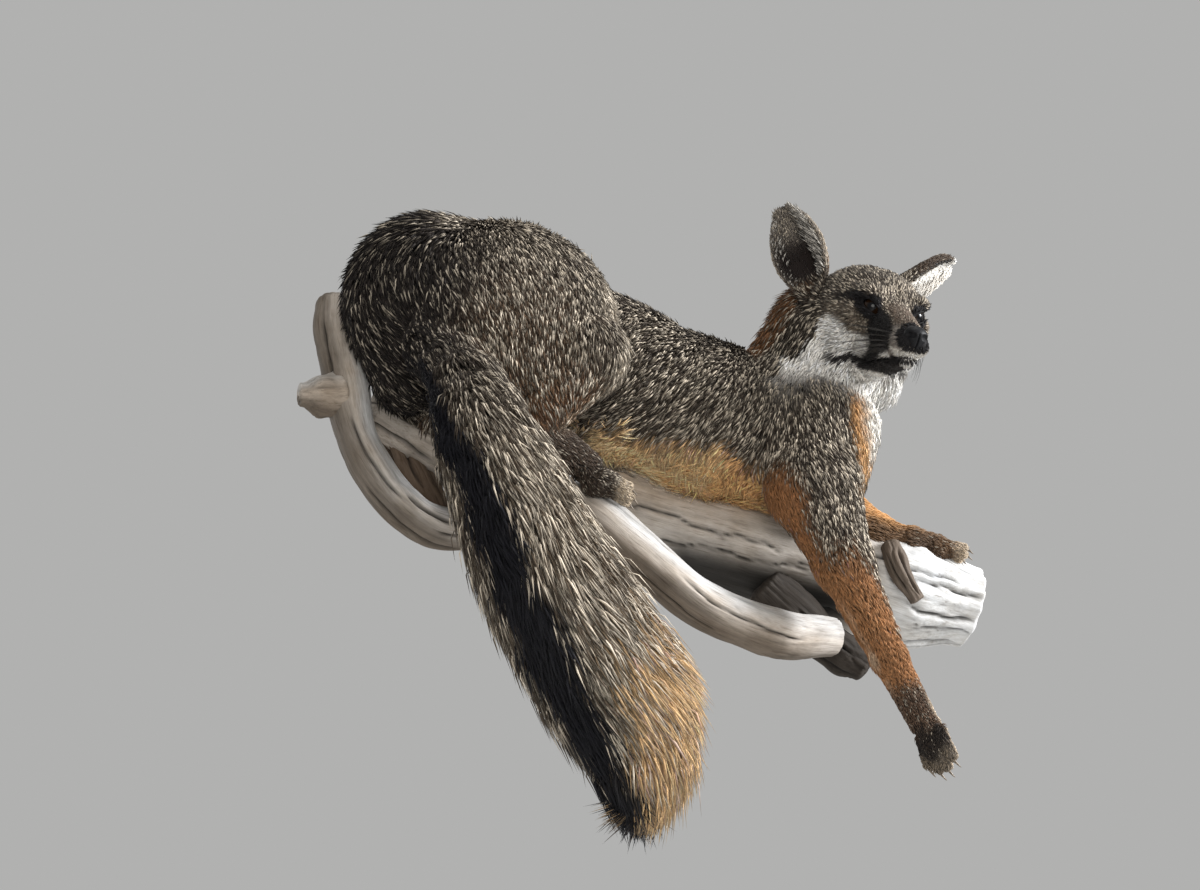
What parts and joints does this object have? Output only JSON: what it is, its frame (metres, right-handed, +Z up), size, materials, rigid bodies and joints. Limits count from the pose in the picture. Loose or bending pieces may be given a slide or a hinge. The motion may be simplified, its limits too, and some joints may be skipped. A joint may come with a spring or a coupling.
{
  "type": "taxidermy gray fox on driftwood wall mount",
  "caption": "Mounted gray fox lying along a driftwood limb, bushy tail and one foreleg hanging, head turned to the room; the limb's flat back hangs on a wall.",
  "frame": {"origin": "on the flat sawn back of the driftwood limb, near the middle of its length, in the plane of the wall", "axes": "+Z up, +Y into the wall, +X along the wall towards the fox's chest"},
  "size_m": [0.5028, 0.2345, 0.4418],
  "materials": {
    "grizzled_fur": "matt",
    "rufous_fur": "matt",
    "dark_fur": "matt",
    "glass_eye": "gloss",
    "nose_leather": "satin",
    "claw": "satin",
    "whisker": "satin",
    "driftwood": "matt",
    "dark_driftwood": "matt"
  },
  "bodies": {
    "root": {"head": "grizzled_fur", "neck": "rufous_fur", "ear_right": "dark_fur", "ear_left": "dark_fur", "eye_right": "glass_eye", "eye_left": "glass_eye", "nose": "nose_leather", "trunk": "grizzled_fur", "rump": "grizzled_fur", "haunch_right": "grizzled_fur", "haunch_left": "grizzled_fur", "hind_foot_right": "dark_fur", "hind_foot_left": "dark_fur", "foreleg_right": "rufous_fur", "paw_front_right": "dark_fur", "foreleg_left": "rufous_fur", "tail_base": "grizzled_fur", "tail_middle": "grizzled_fur", "tail_tip": "dark_fur", "driftwood_log": "driftwood", "driftwood_upright": "driftwood", "driftwood_branch": "driftwood", "driftwood_stub": "dark_driftwood", "driftwood_knob": "driftwood", "driftwood_bark": "driftwood", "driftwood_slab": "dark_driftwood"}
  },
  "joints": []
}
